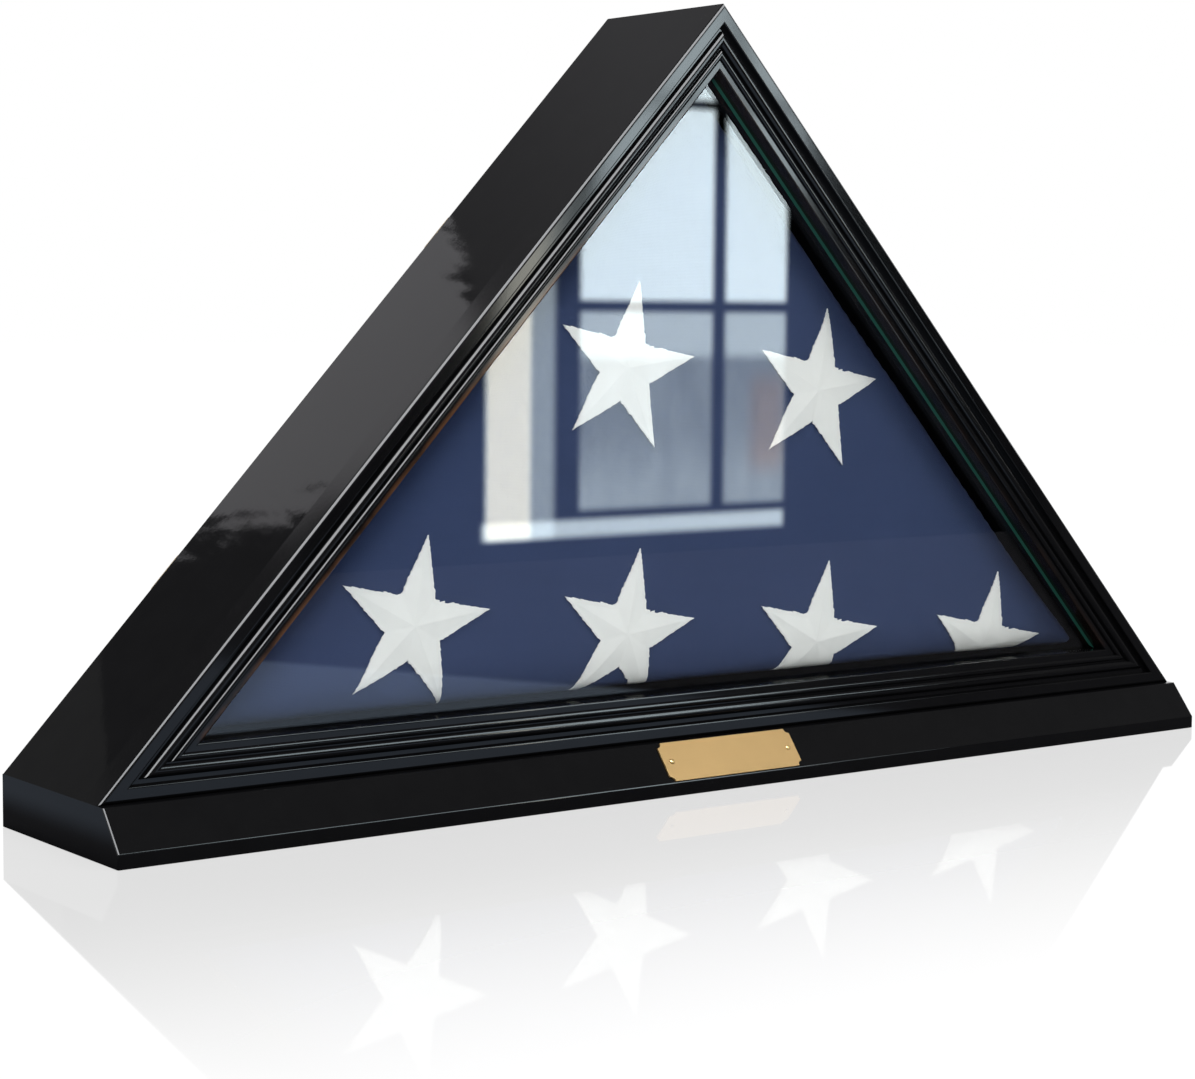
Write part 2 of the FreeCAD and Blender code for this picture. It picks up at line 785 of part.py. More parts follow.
os.makedirs("parts", exist_ok=True)
for item in parts:
    item.Shape.exportStep(f"parts/{item.Label}.step")
    box = item.Shape.BoundBox
    print(f"{item.Label}: {len(item.Shape.Solids)} solids, {item.Shape.Volume:.0f} mm3, "
          f"{box.XLength:.1f} x {box.YLength:.1f} x {box.ZLength:.1f} mm")
print(f"{len(parts)} sub-parts")
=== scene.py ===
# %% [markdown]
# # Folded flag display case
#
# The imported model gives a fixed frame: every board, moulding, screw and the glass at its real size.
# This lesson dresses that frame. It sets up the camera and a white studio, mixes a finish for each
# material, and then models the soft and small pieces by hand: the folded cloth, the sewn stars, the
# felt, the glass and the heads of the screws and pins.

# %% Load the frame
import bpy
import bmesh
import json
import math
from mathutils import Matrix, Vector, noise
from mathutils.bvhtree import BVHTree


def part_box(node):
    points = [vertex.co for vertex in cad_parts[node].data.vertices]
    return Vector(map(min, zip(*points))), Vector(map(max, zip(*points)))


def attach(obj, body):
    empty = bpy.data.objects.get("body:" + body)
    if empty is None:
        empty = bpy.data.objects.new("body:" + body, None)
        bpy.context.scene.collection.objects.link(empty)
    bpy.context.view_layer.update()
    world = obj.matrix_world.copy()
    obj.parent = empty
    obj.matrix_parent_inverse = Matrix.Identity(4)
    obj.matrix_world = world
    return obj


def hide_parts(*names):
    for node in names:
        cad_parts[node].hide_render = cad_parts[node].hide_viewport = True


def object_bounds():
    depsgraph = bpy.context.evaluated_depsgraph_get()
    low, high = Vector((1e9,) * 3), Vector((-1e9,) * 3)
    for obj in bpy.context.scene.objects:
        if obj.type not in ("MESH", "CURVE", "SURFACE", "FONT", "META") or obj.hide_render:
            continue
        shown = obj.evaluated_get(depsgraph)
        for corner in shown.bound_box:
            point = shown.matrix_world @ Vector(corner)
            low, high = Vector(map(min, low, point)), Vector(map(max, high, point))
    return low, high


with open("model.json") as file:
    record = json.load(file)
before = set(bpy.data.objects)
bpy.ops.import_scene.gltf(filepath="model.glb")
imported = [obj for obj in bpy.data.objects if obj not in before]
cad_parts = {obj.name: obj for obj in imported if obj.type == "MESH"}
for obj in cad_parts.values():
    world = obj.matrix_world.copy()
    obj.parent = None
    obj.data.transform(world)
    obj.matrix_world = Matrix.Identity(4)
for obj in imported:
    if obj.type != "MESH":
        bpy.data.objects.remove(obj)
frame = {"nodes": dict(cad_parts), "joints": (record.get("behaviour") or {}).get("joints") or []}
cad_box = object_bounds()
nodes = frame["nodes"]
print("nodes in the frame:", len(nodes))

# %% [markdown]
# ## Camera
#
# A photograph is matched by giving the camera its place, its turn and its lens. All three were worked
# out from eight corners of the case. Yaw turns the view to the right of straight ahead, pitch tips it
# down, and roll leans it.

# %% Camera
CAMERA_PLACE = Vector((-0.8289, -1.0383, 0.2362))
CAMERA_YAW = math.radians(37.03)
CAMERA_PITCH = math.radians(5.09)
CAMERA_ROLL = math.radians(0.53)
CAMERA_LENS_MM = 79.62


def add_camera():
    ahead = Vector((math.sin(CAMERA_YAW) * math.cos(CAMERA_PITCH),
                    math.cos(CAMERA_YAW) * math.cos(CAMERA_PITCH),
                    -math.sin(CAMERA_PITCH)))
    level_right = Vector((math.cos(CAMERA_YAW), -math.sin(CAMERA_YAW), 0))
    level_up = level_right.cross(ahead)
    right = math.cos(CAMERA_ROLL) * level_right + math.sin(CAMERA_ROLL) * level_up
    up = math.cos(CAMERA_ROLL) * level_up - math.sin(CAMERA_ROLL) * level_right
    turn = Matrix((right, up, -ahead)).transposed().to_4x4()
    data = bpy.data.cameras.new("photo_camera")
    data.lens = CAMERA_LENS_MM
    data.clip_start = 0.01
    data.clip_end = 100
    camera = bpy.data.objects.new("photo_camera", data)
    camera.matrix_world = Matrix.Translation(CAMERA_PLACE) @ turn
    bpy.context.collection.objects.link(camera)
    bpy.context.scene.camera = camera


add_camera()
bpy.context.scene.view_settings.view_transform = "Standard"
print("camera stands", round(CAMERA_PLACE.length, 2), "m from the case")

# %% [markdown]
# ## A small language for shader nodes
#
# Patterns are sums of simple signals. A thin wrapper round a socket lets those sums be written as
# plain Python, and each operator adds the Math node that it stands for. Any other node is added by
# one method, which takes its type, its settings and the values or links of its sockets.


# %% Signals
class Signal:
    """A socket of a node tree that can be used in sums."""

    def __init__(self, tree, socket):
        self.tree = tree
        self.socket = socket

    def node(self, kind, settings=None, inputs=None, output=0):
        new = self.tree.nodes.new("ShaderNode" + kind)
        for name, value in (settings or {}).items():
            setattr(new, name, value)
        for name, value in (inputs or {}).items():
            if isinstance(value, Signal):
                self.tree.links.new(value.socket, new.inputs[name])
            else:
                new.inputs[name].default_value = value
        return Signal(self.tree, new.outputs[output])

    def maths(self, operation, *values):
        return self.node("Math", {"operation": operation}, dict(enumerate(values)))

    def __add__(self, other):
        return self.maths("ADD", self, other)

    def __sub__(self, other):
        return self.maths("SUBTRACT", self, other)

    def __rsub__(self, other):
        return self.maths("SUBTRACT", other, self)

    def __mul__(self, other):
        return self.maths("MULTIPLY", self, other)

    __radd__ = __add__
    __rmul__ = __mul__

    def most(self, other):
        return self.maths("MAXIMUM", self, other)

    def wave(self, pitch):
        """A smooth wave from 0 to 1 that repeats at a pitch."""
        return self.maths("SINE", self * (2 * math.pi / pitch)) * 0.5 + 0.5

    def step(self, low, high):
        """0 below low, 1 above high and a smooth rise between; the other way where low is above high."""
        return self.node("MapRange", {"interpolation_type": "SMOOTHSTEP"},
                         {"Value": self, "From Min": low, "From Max": high})

    def noise(self, scale, detail=2.0, roughness=0.5, stretch=(1, 1, 1)):
        """Noise on this position, drawn out where stretch is under 1."""
        place = self.node("VectorMath", {"operation": "MULTIPLY"}, {0: self, 1: stretch})
        return self.node("TexNoise", None, {"Vector": place, "Scale": scale, "Detail": detail,
                                            "Roughness": roughness})

    def blend(self, first, second):
        """A colour between two colours, by this signal."""
        return self.node("Mix", {"data_type": "RGBA"}, {0: self, 6: first, 7: second}, output=2)

    def bump(self, strength, distance, under=None):
        inputs = {"Height": self, "Strength": strength, "Distance": distance}
        if under:
            inputs["Normal"] = under
        return self.node("Bump", None, inputs)

    def axes(self):
        """The three parts of a position."""
        parts = self.tree.nodes.new("ShaderNodeSeparateXYZ")
        self.tree.links.new(self.socket, parts.inputs[0])
        return [Signal(self.tree, socket) for socket in parts.outputs]


def socket_name(word):
    return word.replace("_", " ").title().replace("Ior", "IOR")


def new_finish(name, **constants):
    """A material with one Principled shader. Constants are set on its sockets by name."""
    material = bpy.data.materials.new(name)
    material.use_nodes = True
    tree = material.node_tree
    shader = next(node for node in tree.nodes if node.type == "BSDF_PRINCIPLED")
    for word, value in constants.items():
        shader.inputs[socket_name(word)].default_value = value
    coordinates = tree.nodes.new("ShaderNodeTexCoord")
    return material, shader, Signal(tree, coordinates.outputs["Object"])


def feed(shader, **signals):
    """Link signals to a shader's sockets by name."""
    for word, signal in signals.items():
        signal.tree.links.new(signal.socket, shader.inputs[socket_name(word)])


print("shader helpers ready")

# %% [markdown]
# ## White studio
#
# The case stands on a white polished floor, with white all round. A black polished object shows what
# is around it, so the studio also has cards that only reflections see: a window, which the glass
# mirrors, a panel behind, which the sloping side mirrors, and soft lights whose edges draw the bright
# lines along the mouldings. On the floor, only a pale table near the case is bright in reflections.

# %% Stage helpers
CASE_MIDDLE = Vector((0, 0, 0.15))
WHITE = (1, 1, 1, 1)


def add_card(name, width, height, place, turn=(0, 0, 0)):
    """A flat stage card, with its place and turn left in its object."""
    bpy.ops.object.select_all(action="DESELECT")
    bpy.ops.mesh.primitive_plane_add(size=1, location=place, rotation=turn)
    card = bpy.context.object
    card.name = name
    card.scale = (width, height, 1)
    return card


def bare_finish(name):
    """A material with no shader yet, and the place of a point in the room."""
    material = bpy.data.materials.new(name)
    material.use_nodes = True
    tree = material.node_tree
    tree.nodes.clear()
    geometry = tree.nodes.new("ShaderNodeNewGeometry")
    return material, tree, Signal(tree, geometry.outputs["Position"])


def show(tree, shader, kind="Material"):
    """Send a shader to the output of a material or world."""
    output = tree.nodes.new("ShaderNodeOutput" + kind)
    tree.links.new(shader.socket, output.inputs["Surface"])


def light_reflections(card, material, spot, tint, light):
    """Make a card glow, but only in the first mirror of a line of sight. It lights no surface."""
    first_mirror = spot.node("LightPath", output="Glossy Depth").step(1.6, 1.4)
    unscattered = spot.node("LightPath", output="Diffuse Depth").step(0.6, 0.4)
    glow = spot.node("Emission", None, {"Color": tint, "Strength": first_mirror * unscattered * light})
    show(spot.tree, glow)
    card.data.materials.append(material)
    card.visible_camera = False
    card.visible_diffuse = False
    card.visible_shadow = False


# %% Floor
FLOOR_SIDE = 24.0
FLOOR_DROP = 0.0002
FLOOR_PAPER = (0.93, 0.93, 0.93, 1)
FLOOR_GLOW = 1.03
CASE_FRONT = cad_box[0][1]
CASE_REAR = cad_box[1][1]
MIRROR_SHARE = 0.29
MIRROR_FULL = 0.02
MIRROR_END = 0.41
MIRROR_BEHIND = 0.12
MIRROR_LEFT = (-0.52, -0.42)
MIRROR_RIGHT = (0.42, 0.34)
TABLE_GLOW = (0.42, 0.51, 0.64, 1)
DARK_ROOM = (0.05, 0.05, 0.055, 1)
TABLE_EDGE_X = 0.163
TABLE_EDGE_Y = -0.285
TABLE_EDGE_WAY = (0.883, 0.469)


def table_mask(x, y):
    """1 on the pale table, whose edge runs away to the right in front of the case."""
    across, along = TABLE_EDGE_WAY
    edge = (x - TABLE_EDGE_X) * across - (y - TABLE_EDGE_Y) * along
    clear = y.step(-0.12, -0.16).most(x.step(-0.35, -0.38) * 0.35)
    return edge.step(0.012, -0.012) * y.step(-0.80, -0.55) * clear


def add_floor():
    floor = add_card("floor", FLOOR_SIDE, FLOOR_SIDE, (0, 0, -FLOOR_DROP))
    material, tree, spot = bare_finish("white_floor")
    x, y, _ = spot.axes()
    far = (x * x + y * y).step(0.06, 0.5)
    ahead = CASE_FRONT - y
    beside = y.step(MIRROR_BEHIND, CASE_REAR) * x.step(*MIRROR_LEFT) * x.step(*MIRROR_RIGHT)
    mirror = ahead.step(MIRROR_END, MIRROR_FULL) * beside * MIRROR_SHARE
    paper = spot.node("BsdfDiffuse", None, {"Color": FLOOR_PAPER})
    glow = spot.node("Emission", None, {"Color": WHITE, "Strength": FLOOR_GLOW})
    gloss = spot.node("BsdfGlossy", None, {"Color": WHITE, "Roughness": 0.03})
    white = spot.node("MixShader", None, {0: far * 0.08 + 0.92, 1: paper, 2: glow})
    white = spot.node("MixShader", None, {0: mirror, 1: white, 2: gloss})
    room = spot.node("BsdfDiffuse", None, {"Color": DARK_ROOM})
    table = spot.node("Emission", None, {"Color": TABLE_GLOW, "Strength": 1.0})
    table = spot.node("MixShader", None, {0: table_mask(x, y), 1: room, 2: table})
    camera_ray = spot.node("LightPath", output=0)
    show(tree, spot.node("MixShader", None, {0: camera_ray, 1: table, 2: white}))
    floor.data.materials.append(material)


add_floor()
print("floor laid", FLOOR_SIDE, "m square")

# %% World
WORLD_DIM = 0.10
HORIZON_TOP = 0.40
HORIZON_FULL = 0.30
HORIZON_LOW = -0.15


def make_world():
    """White to the camera; in reflections only low down behind the case."""
    world = bpy.data.worlds.new("white_studio")
    world.use_nodes = True
    bpy.context.scene.world = world
    tree = world.node_tree
    tree.nodes.clear()
    way = Signal(tree, tree.nodes.new("ShaderNodeTexCoord").outputs["Generated"])
    _, y, z = way.axes()
    path = tree.nodes.new("ShaderNodeLightPath")
    camera_ray = Signal(tree, path.outputs["Is Camera Ray"])
    glossy_ray = Signal(tree, path.outputs["Is Glossy Ray"])
    horizon = (z.step(HORIZON_TOP, HORIZON_FULL) * z.step(HORIZON_LOW * 2, HORIZON_LOW)
               * y.step(0.0, 0.3))
    white = camera_ray.most(glossy_ray * horizon)
    light = white * (1 - WORLD_DIM) + WORLD_DIM
    show(tree, way.node("Background", None, {"Color": WHITE, "Strength": light}), "World")


make_world()
print("world is white to the camera and", WORLD_DIM, "elsewhere")

# %% Window card
WINDOW_Y = -0.95
WINDOW_SOFT = 0.005
LEFT_PANES = (0.611, 0.766)
RIGHT_PANES = (0.782, 0.857)
TOP_ROW = (0.427, 0.56)
MIDDLE_ROW = (0.240, 0.418)
BOTTOM_ROW = (0.048, 0.229)
SILL_ROW = (0.024, 0.039)
SIDE_ROW = (0.024, 0.42)
SKY_ROW = (0.57, 1.43)


def bar(axis, low, high, soft=WINDOW_SOFT):
    """1 between two places, with soft ends."""
    return axis.step(low - soft, low + soft) * axis.step(high + soft, high - soft)


def add_window_card():
    """A card with the panes, the sill and the side of a window, and the sky above it."""
    card = add_card("window_card", 0.90, 1.44, (0.75, WINDOW_Y, 0.724), (math.radians(90), 0, 0))
    material, _, spot = bare_finish("window_panes")
    x, _, z = spot.axes()
    panes = bar(x, *LEFT_PANES) + bar(x, *RIGHT_PANES)
    upper = (bar(z, *MIDDLE_ROW) + bar(z, *TOP_ROW)) * panes
    lower = bar(z, *BOTTOM_ROW) * panes
    sill = bar(z, *SILL_ROW) * bar(x, 0.503, 0.857)
    side = bar(x, 0.507, 0.556) * bar(z, *SIDE_ROW)
    reveal = bar(x, 0.556, 0.582, 0.006) * bar(z, *SIDE_ROW)
    sky = bar(z, *SKY_ROW, 0.01) * bar(x, 0.32, 1.18)
    roofs = z.step(0.180, 0.196)
    haze = spot.noise(20.0, detail=3.0, stretch=(1.6, 1.0, 0.5))
    view = roofs * 5.0 + (1 - roofs) * (0.9 + 2.2 * haze + z.step(0.13, 0.06) * 1.2)
    light = upper * 8.8 + lower * view + sill * 6.0 + side * 7.6 + reveal * 3.0 + sky * 6.0
    brick = bar(x, 0.815, 0.856, 0.012) * bar(z, 0.080, 0.168, 0.016)
    tint = side.blend((0.80, 0.94, 1.0, 1), (1.0, 0.99, 0.87, 1))
    tint = (brick * 0.6).blend(tint, (1.0, 0.72, 0.52, 1))
    light_reflections(card, material, spot, tint, light)


add_window_card()
print("window card hung at y", WINDOW_Y)

# %% Rear card
REAR_Y = 3.0


def add_rear_card():
    """A card behind, with a pale panel whose ends are brushed out, as the sloping side mirrors it."""
    card = add_card("rear_card", 3.4, 1.8, (-0.3, REAR_Y, 2.4), (math.radians(90), 0, 0))
    material, _, spot = bare_finish("rear_panel")
    x, _, z = spot.axes()
    streak = spot.noise(11.0, detail=5.0, roughness=0.7, stretch=(2.8, 1, 0.5)) - 0.5
    rise = 0.339 * x + 0.941 * z
    upper = (rise + streak * 0.30).step(2.070, 2.060)
    lower = (0.990 * x - 0.139 * z + streak * 0.34).step(-0.876, -0.866)
    light = upper * lower * 0.58 + rise.step(2.04, 2.10) * 0.08 + rise.step(2.05, 2.75) * 0.12 + 0.05
    light_reflections(card, material, spot, (0.97, 0.96, 1, 1), light)


add_rear_card()
print("rear card hung at y", REAR_Y)


# %% Line lights
def add_line_light(name, way, distance, width, height, strength):
    """A soft bright card in one direction from the case, seen only in reflections."""
    way = Vector(way).normalized()
    card = add_card(name, width, height, CASE_MIDDLE + distance * way)
    card.rotation_euler = way.to_track_quat("Z", "Y").to_euler()
    material, _, spot = bare_finish(name)
    light_reflections(card, material, spot, (0.95, 0.97, 1, 1), strength)


add_line_light("upper_left_card", (-0.38, -0.40, 0.84), 2.4, 2.8, 2.2, 11.0)
add_line_light("right_card", (0.87, 0.05, 0.29), 2.2, 0.9, 0.7, 4.0)
print("line lights hung")


# %% Lamps
def add_lamp(name, place, size, power):
    """A soft square lamp that points at the case. It lights surfaces but isn't mirrored."""
    data = bpy.data.lights.new(name, "AREA")
    data.size = size
    data.energy = power
    lamp = bpy.data.objects.new(name, data)
    lamp.location = place
    lamp.rotation_euler = (CASE_MIDDLE - Vector(place)).to_track_quat("-Z", "Y").to_euler()
    lamp.visible_glossy = False
    lamp.visible_camera = False
    bpy.context.collection.objects.link(lamp)


add_lamp("overhead", (0.0, -0.6, 3.0), 3.0, 90.0)
add_lamp("front_left", (-2.2, -2.6, 1.6), 1.8, 60.0)
add_lamp("front_right", (2.4, -2.4, 1.8), 1.8, 46.0)
add_lamp("rear", (0.5, 3.0, 1.6), 2.0, 43.0)

# %% [markdown]
# ## Black lacquer
#
# The wood is sprayed black and polished, so nearly all of its look is reflection. Two layers of very
# faint bump, a fine orange peel and a slow wave, keep those reflections from being perfect, and a
# little dust dulls them here and there. At the sight edge, next to the glass, the brown of the wood
# shows through where the sander cut thin.

# %% Lacquer
HALF_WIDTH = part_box("plinth")[1].x
PLINTH_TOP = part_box("plinth")[1].z
APEX_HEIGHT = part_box("left_side_board")[1].z
SLOPE = math.atan2(APEX_HEIGHT - PLINTH_TOP, HALF_WIDTH)
SIGHT_INSET = 0.0218


def inset_signal(place):
    """How far a point lies inside the sloping faces, in metres."""
    x, _, z = place.axes()
    return (HALF_WIDTH - x.maths("ABSOLUTE", x)) * math.sin(SLOPE) - (z - PLINTH_TOP) * math.cos(SLOPE)


def lacquer_finish(name, roughness, thin_at_sight):
    material, shader, place = new_finish(name, ior=1.45)
    peel = place.noise(420.0, detail=2.0)
    wave = place.noise(22.0, detail=1.0)
    dust = place.noise(60.0, detail=4.0, roughness=0.6)
    colour = dust.blend((0.003, 0.003, 0.0035, 1), (0.006, 0.006, 0.0065, 1))
    if thin_at_sight:
        x, _, z = place.axes()
        inset = inset_signal(place)
        edge = inset.step(SIGHT_INSET - 0.0034, SIGHT_INSET - 0.0006)
        edge = edge * inset.step(SIGHT_INSET + 0.004, SIGHT_INSET + 0.003)
        above = z.step(PLINTH_TOP + SIGHT_INSET, PLINTH_TOP + 1.2 * SIGHT_INSET)
        # Browner on the left side than on the right, where the reveal stays nearly black.
        left_side_share = x.step(0.03, -0.12) * 0.92 + 0.08
        patchy = place.noise(35.0, detail=3.0).step(0.30, 0.6)
        colour = (edge * above * left_side_share * patchy).blend(colour, (0.10, 0.044, 0.021, 1))
    normal = peel.bump(0.015, 0.0002, wave.bump(0.03, 0.001))
    feed(shader, base_color=colour, roughness=roughness + 0.025 * dust, normal=normal)
    return material


def dress(names, material):
    for name in names:
        nodes[name].data.materials.clear()
        nodes[name].data.materials.append(material)


black_lacquer = lacquer_finish("black_lacquer", 0.012, False)
moulding_lacquer = lacquer_finish("moulding_lacquer", 0.07, True)
dress(["plinth", "bottom_board", "left_side_board", "right_side_board"], black_lacquer)
dress(["left_front_moulding", "right_front_moulding", "bottom_front_moulding",
       "left_glass_stop", "right_glass_stop", "bottom_glass_stop"], moulding_lacquer)
print("slope of the sides", round(math.degrees(SLOPE), 1), "degrees")

# %% [markdown]
# ## Brass, steel and the back board
#
# The name plate is thin rolled brass with a satin grain along its length. A satin plate scatters much
# of its light, so its finish is only partly a mirror. The turn buttons are stamped from the same metal
# and polished, and the screws are zinc plated. The back is painted hardboard with a fine grain.


# %% Metals and back
def metal_finish(name, base, metallic, roughness, grain_stretch):
    material, shader, place = new_finish(name, metallic=metallic)
    grain = place.noise(900.0, detail=3.0, stretch=grain_stretch)
    tarnish = place.noise(45.0, detail=3.0)
    colour = tarnish.blend(base, tuple(0.84 * part for part in base[:3]) + (1,))
    feed(shader, base_color=colour, roughness=roughness + 0.14 * grain, normal=grain.bump(0.08, 0.0001))
    return material


def rough_black(name, base, roughness, scale, depth):
    material, shader, place = new_finish(name, roughness=roughness)
    grain = place.noise(scale, detail=5.0, roughness=0.6)
    lighter = tuple(2.4 * part for part in base[:3]) + (1,)
    feed(shader, base_color=grain.blend(base, lighter), normal=grain.bump(0.25, depth))
    return material


BUTTONS = [name for name in nodes if name.endswith("_turn_button")]
plate_brass = metal_finish("plate_brass", (0.41, 0.255, 0.10, 1), 0.55, 0.36, (0.02, 1, 1))
hardware_brass = metal_finish("hardware_brass", (0.76, 0.53, 0.22, 1), 0.9, 0.24, (1, 1, 1))
zinc_steel = metal_finish("zinc_steel", (0.62, 0.62, 0.63, 1), 0.9, 0.26, (1, 1, 1))
back_board = rough_black("back_board", (0.012, 0.012, 0.013, 1), 0.5, 500.0, 0.0004)
black_felt = rough_black("black_felt", (0.010, 0.010, 0.011, 1), 0.95, 1500.0, 0.0006)
dress(["name_plate"], plate_brass)
dress(BUTTONS, hardware_brass)
dress(["back_panel"], back_board)
print("turn buttons dressed:", len(BUTTONS))

# %% [markdown]
# ## Tools for modelling
#
# The pieces that follow are modelled with the same operators as by hand: add a primitive, pick faces
# or edges by where they lie, then extrude, inset, bevel or bisect them. A few helpers keep that short.
# The triangle of the case turns up in the flag, the glass and the felt, so it has a helper too: a
# circle of three points is a triangle, and scaling fits it to the case's slope.


# %% Modelling helpers
def pick(piece, kind, test):
    """In edit mode, select the vertices, edges or faces that pass a test, and nothing else."""
    bpy.ops.object.mode_set(mode="EDIT")
    bpy.ops.mesh.select_mode(type=kind)
    bpy.ops.mesh.select_all(action="DESELECT")
    mesh = bmesh.from_edit_mesh(piece.data)
    for item in {"VERT": mesh.verts, "EDGE": mesh.edges, "FACE": mesh.faces}[kind]:
        if test(item):
            item.select_set(True)
    mesh.select_flush_mode()
    bmesh.update_edit_mesh(piece.data)


def done_editing():
    """Leave edit mode."""
    bpy.ops.object.mode_set(mode="OBJECT")


def smooth_up_to(degrees):
    """Shade the active piece smooth, but leave edges sharp past an angle."""
    bpy.ops.object.shade_smooth_by_angle(angle=math.radians(degrees))


def take(piece):
    """Select one piece alone and make it the active one."""
    bpy.ops.object.select_all(action="DESELECT")
    piece.select_set(True)
    bpy.context.view_layer.objects.active = piece


def thicken(piece, name, thickness):
    """Give a single layer of the active piece its thickness, behind its face."""
    wall = piece.modifiers.new(name, "SOLIDIFY")
    wall.thickness = thickness
    wall.offset = -1
    bpy.ops.object.modifier_apply(modifier=wall.name)


def settle(piece, name):
    """Name a new primitive and move its place and turn into its mesh."""
    piece.name = name
    piece.data.name = name
    bpy.ops.object.transform_apply(location=True, rotation=True, scale=True)
    return piece


def push(way):
    """Extrude what is selected."""
    bpy.ops.mesh.extrude_region_move(TRANSFORM_OT_translate={"value": way})


def finish_piece(piece, body, slot, material, *replaced):
    """Give a piece its finish and its body, and hide the CAD nodes it stands for."""
    piece.data.materials.clear()
    piece.data.materials.append(material)
    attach(piece, body)
    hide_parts(*replaced)
    return piece


def copied(piece, name, place):
    """A copy with its own mesh, moved by a matrix."""
    twin = bpy.data.objects.new(name, piece.data.copy())
    twin.data.name = name
    twin.data.transform(place)
    bpy.context.collection.objects.link(twin)
    return twin


# %% Triangle
def peak_height(inset):
    """How high the two slopes meet when both are inset from the case's outer faces."""
    return PLINTH_TOP + (HALF_WIDTH * math.sin(SLOPE) - inset) / math.cos(SLOPE)


def triangle_face(name, inset, y):
    """A triangular face parallel to the glass, inset from the case's outer faces."""
    half = HALF_WIDTH - inset * (1 + math.cos(SLOPE)) / math.sin(SLOPE)
    foot = PLINTH_TOP + inset
    rise = (peak_height(inset) - foot) / 1.5
    bpy.ops.object.select_all(action="DESELECT")
    bpy.ops.mesh.primitive_circle_add(vertices=3, radius=1, fill_type="NGON",
                                      location=(0, y, foot + rise / 2), rotation=(math.radians(90), 0, 0))
    face = bpy.context.object
    face.scale = (2 * half / math.sqrt(3), rise, 1)
    return settle(face, name)


def triangle_block(name, inset, front, rear):
    block = triangle_face(name, inset, front)
    pick(block, "FACE", lambda face: True)
    push((0, rear - front, 0))
    bpy.ops.mesh.select_all(action="SELECT")
    bpy.ops.mesh.normals_make_consistent(inside=False)
    return block


def slope_inset(place):
    """How far a point lies inside the case's sloping faces."""
    return (HALF_WIDTH - abs(place.x)) * math.sin(SLOPE) - (place.z - PLINTH_TOP) * math.cos(SLOPE)


def point_inset(place):
    """How far a point lies inside the case's triangle."""
    return min(slope_inset(place), place.z - PLINTH_TOP)


print("tools ready")

# %% [markdown]
# ## Glass
#
# The pane is plain float glass, cut to the triangle. Its faces are clear, with a trace of green. Seen
# at a slant, the light that runs inside the pane comes out as a dark green line where the glass meets
# the frame. That glow is painted light: two insets of the front face give the line faces of its own, and
# those faces get an opaque dark green colour, except along the bottom.

# %% Glass
GLASS_LOW, GLASS_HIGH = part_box("glass_pane")
GLASS_INSET = GLASS_LOW.z - PLINTH_TOP
GLOW_LINE_WIDTH = 0.0018


def glass_finish():
    material, shader, place = new_finish("clear_glass", base_color=(0.982, 0.988, 0.985, 1), roughness=0.0,
                                         ior=1.52, transmission_weight=1.0)
    tree = material.node_tree
    output = next(node for node in tree.nodes if node.type == "OUTPUT_MATERIAL")
    shadow_ray = place.node("LightPath", output=1)
    through = place.node("BsdfTransparent", None, {"Color": (0.94, 0.97, 0.96, 1)})
    pane = place.node("MixShader", None, {0: shadow_ray, 1: Signal(tree, shader.outputs[0]), 2: through})
    tree.links.new(pane.socket, output.inputs["Surface"])
    return material


# Painted light: the glow of light running inside the pane, painted as an opaque dark green colour.
def painted_edge_glow_finish():
    material, shader, place = new_finish("painted_green_edge_glow", roughness=0.25)
    drift = place.noise(18.0, detail=2.0)
    feed(shader, base_color=drift.blend((0.012, 0.075, 0.055, 1), (0.03, 0.14, 0.10, 1)))
    return material


def make_glass():
    pane = triangle_block("flat_glass", GLASS_INSET, GLASS_LOW.y, GLASS_HIGH.y)
    pick(pane, "FACE", lambda face: face.normal.y < -0.9)
    bpy.ops.mesh.inset(thickness=SIGHT_INSET - GLASS_INSET)
    bpy.ops.mesh.inset(thickness=GLOW_LINE_WIDTH)
    done_editing()
    finish_piece(pane, "case", "glass", glass_finish(), "glass_pane")
    pane.data.materials.append(painted_edge_glow_finish())
    # The thin ring of the front face gets the painted green edge glow, except along the bottom.
    for face in pane.data.polygons:
        nearest = min(point_inset(pane.data.vertices[index].co) for index in face.vertices)
        on_glow_ring = face.normal.y < -0.9 and len(face.vertices) == 4 and nearest > GLASS_INSET + 0.001
        if on_glow_ring and face.center.z > PLINTH_TOP + 2 * SIGHT_INSET:
            face.material_index = 1
    return pane


glass = make_glass()
print("green faces on the glass:", sum(face.material_index for face in glass.data.polygons))

# %% [markdown]
# ## Folded flag
#
# A flag folded into a triangle is a firm, thick bundle: a soft crown in front, rolled edges, and the
# edges of its layers along the sides. A plain block would look like wood, so the block is cut small,
# remeshed into an even net and blown up a little with the cloth simulation, as a pad is stuffed. A cap
# on the movement keeps it in the case, and it ends flat where the boards and the back press on it. On
# the back, the flap that is tucked in last leaves a low step.

# %% Flag block
FLAG_LOW, FLAG_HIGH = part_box("folded_flag")
FLAG_INSET = FLAG_LOW.z - PLINTH_TOP
FLAG_SWELL = 0.0020
FLAG_CROWN = 0.0012
FLAG_CORNER = 0.009
FLAG_ROLL = 0.0055
FLAG_VOXEL = 0.006


